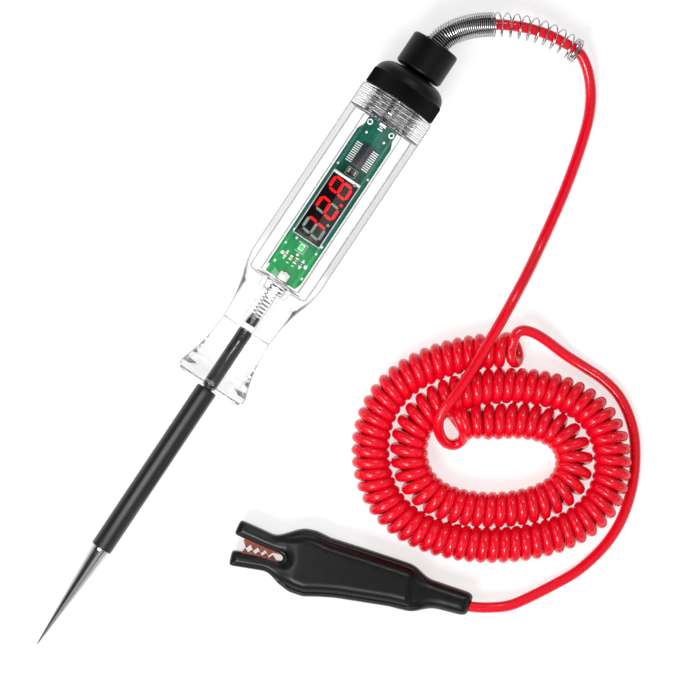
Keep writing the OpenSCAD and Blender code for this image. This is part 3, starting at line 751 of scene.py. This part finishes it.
# ---------------------------------------------------------------- the display
CASE_FRONT, CASE_BACK, CASE_HALF = 162.2, 187.2, 4.6
FACE = 4.7
show = Shape("display_case", display_black, display_grey)
show.slab(at(CASE_FRONT, -CASE_HALF, TOP), at(CASE_BACK, CASE_HALF, FACE - 0.25), 0.2, 2)
show.slab(at(162.4, -4.4, FACE - 0.3), at(186.2, 4.4, FACE - 0.01), 0.12, 2)
show.use(1).slab(at(186.25, -CASE_HALF, TOP + 1.0), at(CASE_BACK, CASE_HALF, FACE), 0.15, 2)
for y0, y1 in ((-CASE_HALF, -4.42), (4.42, CASE_HALF)):
    show.slab(at(CASE_FRONT, y0, FACE - 0.9), at(186.3, y1, FACE), 0.05, 1)
show.slab(at(CASE_FRONT, -CASE_HALF, FACE - 0.9), at(162.42, CASE_HALF, FACE), 0.05, 1)
show.done("handle", "display_module", slot="display_black")

# ---------------------------------------------------------------- the cap
KNURLS = 97
KNURL_R = 13.1
KNURL_DEPTH = 0.42
NECK_R = 5.0
cap = Shape("cap_knurled", cap_black)
dome = [(223.5 + 4.8 * math.sin(math.radians(a)), 7.0 + 5.7 * math.cos(math.radians(a))) for a in
        (84 * i / 12 for i in range(1, 13))]
cap.lathe([(220.6, 3.25), (220.6, 7.4), (217.7, 7.4), (217.6, 7.6), (217.6, 12.6), (217.75, 12.95, 0.1),
           (218.0, KNURL_R, KNURL_DEPTH), (223.0, KNURL_R, KNURL_DEPTH), (223.3, 13.0, 0.3), (223.5, 12.75)] +
          dome + [(228.3, 6.4), (228.45, 5.4), (228.9, NECK_R), (236.3, NECK_R), (236.5, 4.8), (236.5, 3.3),
                  (236.3, 3.2), (221, 3.2)], KNURLS * 6, ribs=KNURLS, loop=True)
cap.done("end_cap", "end_cap", slot="black_plastic", sharp=50)

# The plug's ridges run as a helix and fade out towards its two ends.
RUNS = 92
plug = Shape("plug_threaded", plug_clear)
ridges = [(209.4 + 8.1 * i / RUNS, 8.5, 0, 0.55 * smooth(i / 8) * smooth((RUNS - i) / 4))
          for i in range(RUNS + 1)]
plug.lathe([(209.2, 8.0), (209.3, 8.4)] + ridges +
           [(217.58, 8.3), (217.58, 7.5), (209.4, 7.5), (209.2, 7.7)], 120, loop=True)
plug_made = plug.done("end_cap", "threaded_plug", slot="plug_plastic", sharp=60)
# The clear parts cast no shadow, which keeps the board and the floor seen through them bright.
for made in (nose_made, barrel_made, plug_made):
    made.visible_shadow = False

nut = Shape("gland_nut_moulded", cap_black)
nut.lathe([(229.0, 5.05)] + arc(230.2, 7.3, 1.2, -90, 0, 8) + [(239.6, 8.5)] +
          arc(239.8, 7.5, 1.0, 0, 90, 8) + [(240.8, 6.0)] + arc(240.4, 6.0, 0.4, 90, 180, 4) +
          [(236.7, 5.6), (236.6, 5.05)], 96, loop=True)
nut.done("end_cap", "gland_nut", slot="black_plastic")

# ---------------------------------------------------------------- the spring guard on the cord
GUARD_R = 4.0
GUARD_WIRE = 0.27
GUARD_START = 0.2
LINER_R = 2.7
guard_path = spline([(118.0, 0, AXIS_Z)] + GUARD, 24)
guard_len = [0.0]
for i in range(len(guard_path) - 1):
    guard_len.append(guard_len[-1] + (guard_path[i + 1] - guard_path[i]).length)


def on_guard(s):
    """The point and direction at a distance along the guard, in mm."""
    past = next((k for k, v in enumerate(guard_len) if v > s), len(guard_len))
    i = max(0, min(len(guard_len) - 2, past - 1))
    t = (s - guard_len[i]) / (guard_len[i + 1] - guard_len[i])
    i0, i1 = max(0, i - 12), min(len(guard_path) - 1, i + 12)
    return guard_path[i].lerp(guard_path[i + 1], t), (guard_path[i1] - guard_path[i0]).normalized()


def round_guard(s, r, around):
    """A point in metres, r mm from the guard's middle line, for each angle in around."""
    p, d = on_guard(s)
    side = Vector((0, 0, 1)).cross(d).normalized()
    top = d.cross(side)
    return [(p + r * (math.cos(a) * side + math.sin(a) * top)) * MM for a in around]


def guard_run(bent_pitch=0.84, close_pitch=0.68, open_pitch=3.15):
    """Distances and turns along the guard: parted by the bend, close-wound, open, then three close turns."""
    end = guard_len[-1]
    bent_to, close_to, open_to = 9.5, 23.5, end - 2.6
    n_bent = (bent_to - GUARD_START) / bent_pitch
    n_close = n_bent + (close_to - bent_to) / close_pitch
    n_open = n_close + (open_to - close_to) / open_pitch
    return [(GUARD_START, 0.0), (bent_to, n_bent), (close_to, n_close), (open_to, n_open),
            (end - 0.4, n_open + 3.0)]


guard = Shape("spring_guard_wire", spring_steel)
marks = guard_run()
points = []
for (s0, t0), (s1, t1) in zip(marks, marks[1:]):
    n = int((t1 - t0) * 20)
    for k in range(n):
        f = k / n
        points += round_guard(s0 + (s1 - s0) * f, GUARD_R, [2 * math.pi * (t0 + (t1 - t0) * f)])
guard.wire(points, GUARD_WIRE, 7)
guard.done("lead", "spring_guard", slot="spring_steel")

liner = Shape("guard_liner", boot_black)
liner_run = [(0.3, 2.3)] + [(0.5 + i, LINER_R) for i in range(22)] + [(22.4, 2.6), (22.6, 2.2)]
liner.grid([round_guard(s, r, angles(32)) for s, r in liner_run])
liner.done("lead", slot="boot_rubber")


# ---------------------------------------------------------------- the clip
def boot_outline():
    """The boot's side outline, anticlockwise from the upper jaw's tip, in the clip's frame."""
    upper = [(-23.4, 10.9), (-16.8, 9.2), (-12.4, 8.0)]
    upper += [(-12.4 + 11.6 * t, 7.8 + 3.9 * math.sin(math.pi / 2 * t) ** 2)
              for t in (i / 10 for i in range(1, 11))]
    upper += [(2.4, 11.5), (7, 10.1), (20, 8.3), (33.8, 6.2)]
    upper += [(34 + 10 * t, 6.1 - 4.4 * math.sin(math.pi / 2 * t) ** 2)
              for t in (i / 8 for i in range(1, 9))]
    tail = [(56, -0.2), (57.0, -0.8), (57.4, -1.6), (56.7, -6.6), (56.2, -7.7), (54.8, -8.3), (46, -7.6)]
    lower = [(45.5 - 9 * t, -7.6 - 2.4 * math.sin(math.pi / 2 * t) ** 2)
             for t in (i / 8 for i in range(1, 9))]
    lower += [(30, -9.5), (12, -9.7), (6, -10.3), (1, -11.1), (-4, -10.3), (-8.2, -8)]
    lower += [(-8.2 - 5.4 * t, -8 + 3.2 * math.sin(math.pi / 2 * t)) for t in (i / 5 for i in range(1, 6))]
    mouth = [(-24.9, -4.9), (-25.2, -4.6), (-25.0, 0.1), (-24.7, 0.5), (-17, 0.5), (-8.9, -0.6), (-7.9, -0.4),
             (-7.6, 0.4), (-7.9, 1.3), (-8.8, 1.9), (-14, 2.9), (-24.6, 5.6), (-25.1, 6.1), (-23.9, 10.7)]
    return [Vector(p) for p in upper + tail + lower + mouth]


def densify(points, gap):
    """The closed outline with points no further apart than the gap."""
    out = []
    for i, p in enumerate(points):
        q = points[(i + 1) % len(points)]
        n = max(1, int(math.ceil((q - p).length / gap)))
        out += [p.lerp(q, k / n) for k in range(n)]
    return out


def soften(points, times):
    """The closed outline with its corners rounded, a little more each time."""
    for _ in range(times):
        n = len(points)
        points = [points[i] * 0.5 + (points[i - 1] + points[(i + 1) % n]) * 0.25 for i in range(n)]
    return points


edge = soften(densify(boot_outline(), 0.7), 3)
edge_np = np.array([(p.x, p.y) for p in edge])
edge_next = np.roll(edge_np, -1, axis=0)


def edge_distance(p):
    """How far a point is from the boot's outline, in mm."""
    d = edge_next - edge_np
    t = np.clip(((p - edge_np) * d).sum(1) / (d * d).sum(1), 0, 1)
    return float(np.sqrt(((edge_np + d * t[:, None] - p) ** 2).sum(1)).min())


def inside(p):
    """Whether a point is inside the boot's outline."""
    x, y = p
    a, b = edge_np, edge_next
    cross = (a[:, 1] > y) != (b[:, 1] > y)
    rise = np.where(np.abs(b[:, 1] - a[:, 1]) < 1e-9, 1e-9, b[:, 1] - a[:, 1])
    xs = a[:, 0] + (y - a[:, 1]) / rise * (b[:, 0] - a[:, 0])
    return bool((cross & (x < xs)).sum() % 2)


def boot_half(x, y, d):
    """Half the boot's thickness, d in from its edge: a rolled rim, a groove, then a crowned side."""
    jaw = smooth((-3 - x) / 7)
    tail = smooth((x - 37.5) / 5)
    bead = 3.4 * (1 - jaw) + 3.9 * jaw
    rim_w = 1.25 - 0.5 * jaw
    rim = bead * math.sqrt(max(0.0, 1 - (1 - min(1.0, d / rim_w)) ** 2))
    crown = 6.0 - 1.3 * jaw - 1.15 * smooth((x - 35.2 - 0.012 * (y + 2) ** 2) / 1.3)
    if d > rim_w:
        groove = 0.22 * (1 - jaw) * math.sin(min(1.0, (d - rim_w) / 0.9) * math.pi)
        s = min(1.0, max(0.0, d - rim_w - 0.3) / (3.6 - 1.6 * jaw))
        rim = bead - groove + (crown - bead) * (1 - (1 - s) ** 2.4)
    round_tail = 4.35 * math.sqrt(max(0.0, 1 - (1 - min(1.0, d / 3.7)) ** 2))
    return rim * (1 - tail) + round_tail * tail


def deep(q, least):
    """Whether a point is inside the boot's outline and more than least from it."""
    return inside((q.x, q.y)) and edge_distance(np.array((q.x, q.y))) > least


# The boot's side is meshed from its outline, rings just inside it, and a staggered grid further in.
CELL = 0.8
n_edge = len(edge)
cloud = list(edge)
for inset in (0.12, 0.35, 0.7, 1.1, 1.45, 1.8, 2.3):
    for i in range(n_edge):
        t = (edge[(i + 1) % n_edge] - edge[i - 1]).normalized()
        q = edge[i] + Vector((t.y, -t.x)) * inset
        if deep(q, inset * 0.93):
            cloud.append(q)
for i in range(int(84 / CELL)):
    for k in range(int(24 / CELL)):
        q = Vector((-25.5 + CELL * i, -11.8 + CELL * k + CELL / 2 * (i % 2)))
        if deep(q, 2.75):
            cloud.append(q)
flat, _, tris, *_ = delaunay_2d_cdt(cloud, [(i, (i + 1) % n_edge) for i in range(n_edge)],
                                    [list(range(n_edge))], 1, 1e-4)


def boot_mesh(name, keep, shrink):
    """One part of the boot: the faces whose middle is kept, on both sides, made thinner by shrink."""
    shape = Shape(name, boot_black)
    faces = [f for f in tris if keep(sum(flat[i].x for i in f) / len(f), sum(flat[i].y for i in f) / len(f))]
    used = sorted({i for f in faces for i in f})
    count = {}
    for f in faces:
        for a, b in zip(f, f[1:] + f[:1]):
            key = (min(a, b), max(a, b))
            count[key] = count.get(key, 0) + 1
    top, bottom = {}, {}
    for i in used:
        p = flat[i]
        d = edge_distance(np.array((p.x, p.y)))
        h = max(0.0, boot_half(p.x, p.y, d) - shrink(p.x))
        if d < 1e-3:
            v = shape.bm.verts.new(clip(p.x, p.y, 0))
            top[i] = bottom[i] = v
        else:
            top[i] = shape.bm.verts.new(clip(p.x, p.y, h))
            bottom[i] = shape.bm.verts.new(clip(p.x, p.y, -h))
    for f in faces:
        for side, order in ((top, f), (bottom, f[::-1])):
            made = shape.bm.faces.new([side[i] for i in order])
            made.smooth = True
    for (a, b), times in count.items():
        if times == 1:
            corners = []
            for v in (top[a], top[b], bottom[b], bottom[a]):
                if v not in corners:
                    corners.append(v)
            if len(corners) > 2:
                shape.bm.faces.new(corners)
    return shape


def in_upper(x, y):
    """Whether a point of the outline belongs to the moving jaw."""
    return x < -7.2 and y > 0.9


def in_sleeve(x, y):
    """Whether a point belongs to the jaw's sleeve, which also reaches back inside the body."""
    return in_upper(x, y) or (x < 1.0 and y > 2.4)


boot_body = boot_mesh("boot_body", lambda x, y: not in_upper(x, y), lambda x: 0.0)
boot_body.done("lead", "clip_boot", slot="boot_rubber", sharp=60)
boot_jaw = boot_mesh("boot_jaw_sleeve", in_sleeve, lambda x: 0.25 * smooth((x + 7.4) / 1.0))
jaw_obj = boot_jaw.done(None, "clip_boot", slot="boot_rubber", sharp=60)
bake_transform(jaw_obj)

# ---------------------------------------------------------------- CAD nodes that stay, with better surfaces
for node, mat in (("cord_bush", gold), ("retaining_ring", spring_steel), ("clip_lower_jaw", copper),
                  ("clip_upper_jaw", copper), ("clip_pivot", copper), ("clip_spring", spring_steel),
                  ("clip_crimp", gold), ("lit_segments", digit_red), ("dark_segments", digit_grey)):
    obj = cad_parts[node]
    for s in obj.material_slots:
        s.material = mat

# ---------------------------------------------------------------- studio
floor_mat = material("floor", (0.4, 0.4, 0.4), 0.9, vary=0.01, grain=3, bump=0.0, Specular_IOR_Level=0.05,
                     Emission_Color=(1, 1, 1, 1), Emission_Strength=0.68)
floor_shape = bpy.data.meshes.new("floor")
floor_shape.from_pydata([(-3, -3, 0), (3, -3, 0), (3, 3, 0), (-3, 3, 0)], [], [(0, 1, 2, 3)])
floor = bpy.data.objects.new("floor", floor_shape)
floor_shape.materials.append(floor_mat)
scene.collection.objects.link(floor)

world = bpy.data.worlds.new("studio")
scene.world = world
world.use_nodes = True
wn, wl = world.node_tree.nodes, world.node_tree.links
background = wn["Background"]
where = wn.new("ShaderNodeTexCoord")
split = wn.new("ShaderNodeSeparateXYZ")
wl.new(where.outputs["Generated"], split.inputs["Vector"])


def sky(operation, a, b):
    """A Math node of the sky's shader; a and b are sockets or numbers."""
    node = wn.new("ShaderNodeMath")
    node.operation = operation
    for socket, value in zip(node.inputs, (a, b)):
        if isinstance(value, (int, float)):
            socket.default_value = value
        else:
            wl.new(value, socket)
    return node.outputs[0]


def fade(value, low, high, start=0.0):
    """A smooth change from start to 1 as the value goes from low to high."""
    node = wn.new("ShaderNodeMapRange")
    node.interpolation_type = "SMOOTHSTEP"
    for key, number in (("From Min", low), ("From Max", high), ("To Min", start), ("To Max", 1.0)):
        node.inputs[key].default_value = number
    wl.new(value, node.inputs["Value"])
    return node.outputs["Result"]


ENDS_LEVEL = 0.42
# Round the tester the sky is a dark arc with two bright strips and a broad dim one in it, given as angles
# from straight up and strengths. Beyond the tester's two ends it is evenly lit. It darkens to the horizon.
swing = sky("ARCTAN2", sky("MULTIPLY", split.outputs["Y"], -1.0), split.outputs["Z"])
ramp = wn.new("ShaderNodeValToRGB")
stops = [(-90, 0.02), (-84, 0.02), (-80, 1.2), (-70, 1.2), (-66, 0.02), (1, 0.02), (4, 0.5), (44, 0.5),
         (50, 0.05), (62, 0.05), (66, 1.6), (76, 1.6), (80, 0.02), (90, 0.02)]
while len(ramp.color_ramp.elements) < len(stops):
    ramp.color_ramp.elements.new(0.5)
for element, (angle, value) in zip(ramp.color_ramp.elements, stops):
    element.position = (angle + 90) / 180
    element.color = (value, value, value, 1)
wl.new(sky("DIVIDE", sky("ADD", swing, math.pi / 2), math.pi), ramp.inputs["Fac"])
ends = fade(sky("ABSOLUTE", split.outputs["X"], 0.0), 0.26, 0.36)
arc_light = sky("MULTIPLY", ramp.outputs["Color"], sky("SUBTRACT", 1.0, ends))
level = sky("ADD", arc_light, sky("MULTIPLY", ends, ENDS_LEVEL))
height = fade(split.outputs["Z"], 0.1, 0.34, 0.02)
background.inputs["Color"].default_value = (1, 1, 1, 1)
wl.new(sky("MULTIPLY", level, height), background.inputs["Strength"])


def softbox(name, place, size, power):
    """A rectangular light aimed at LIGHTS_AIM, its place and size in metres and its power in watts."""
    data = bpy.data.lights.new(name, "AREA")
    data.shape = "RECTANGLE"
    data.size, data.size_y = size
    data.energy = power
    light = bpy.data.objects.new(name, data)
    scene.collection.objects.link(light)
    light.location = place
    light.rotation_euler = (LIGHTS_AIM - Vector(place)).to_track_quat("-Z", "Y").to_euler()
    return light


LIGHTS_AIM = Vector((0.02, -0.03, 0.0))
softbox("key", (-0.85, -0.12, 1.15), (0.5, 0.4), power=13)
softbox("rim", (0.85, 0.0, 0.95), (0.3, 0.2), power=2.5)
# A small light that shines straight down beside the sleeve gives it its soft highlight.
strip = softbox("strip", (-0.063, 0.04, 0.2), (0.08, 0.15), power=0.15)
strip.rotation_euler = (0, 0, 0)
strip.visible_camera = False

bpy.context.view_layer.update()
